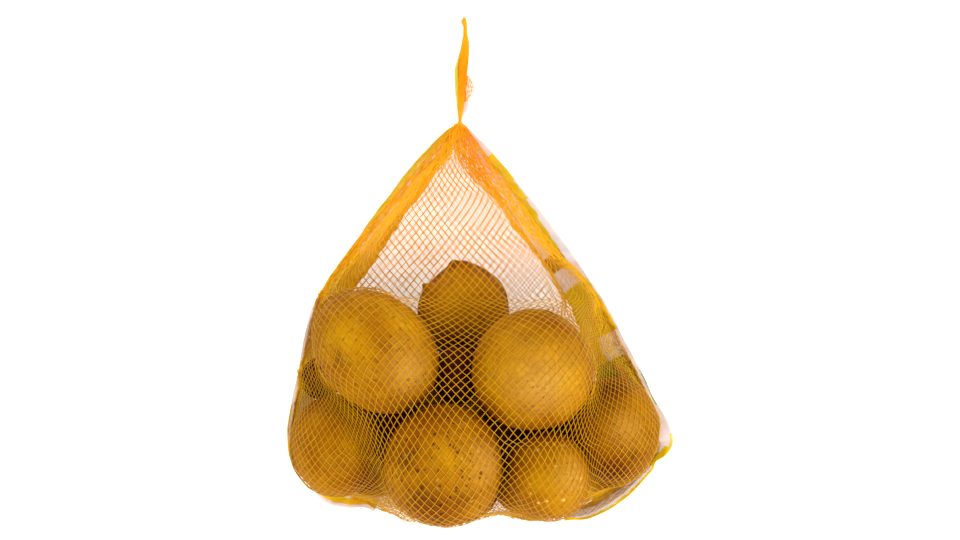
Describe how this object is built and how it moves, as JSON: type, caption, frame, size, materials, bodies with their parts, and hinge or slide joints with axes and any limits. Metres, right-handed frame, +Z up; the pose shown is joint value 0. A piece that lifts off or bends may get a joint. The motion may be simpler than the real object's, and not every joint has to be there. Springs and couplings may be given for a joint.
{
  "type": "net bag of potatoes",
  "caption": "Net bag of loose potatoes lying on its back, with film side panels, a gathered neck and a twisted net tail.",
  "frame": {"origin": "middle of the bag's box, on the floor that it lies on", "axes": "+X to the right of the shown side, +Y from the bottom seam to the tail, +Z up, out of the shown side"},
  "size_m": [0.2242, 0.2956, 0.1188],
  "materials": {
    "net": "thin glossy orange plastic net, partly see-through, with golden brown potato skin behind it",
    "film": "thin soft plastic film, milky white with yellow fields"
  },
  "bodies": {
    "root": {"net_bag": "net", "film_left": "film", "film_right": "film"}
  },
  "joints": []
}
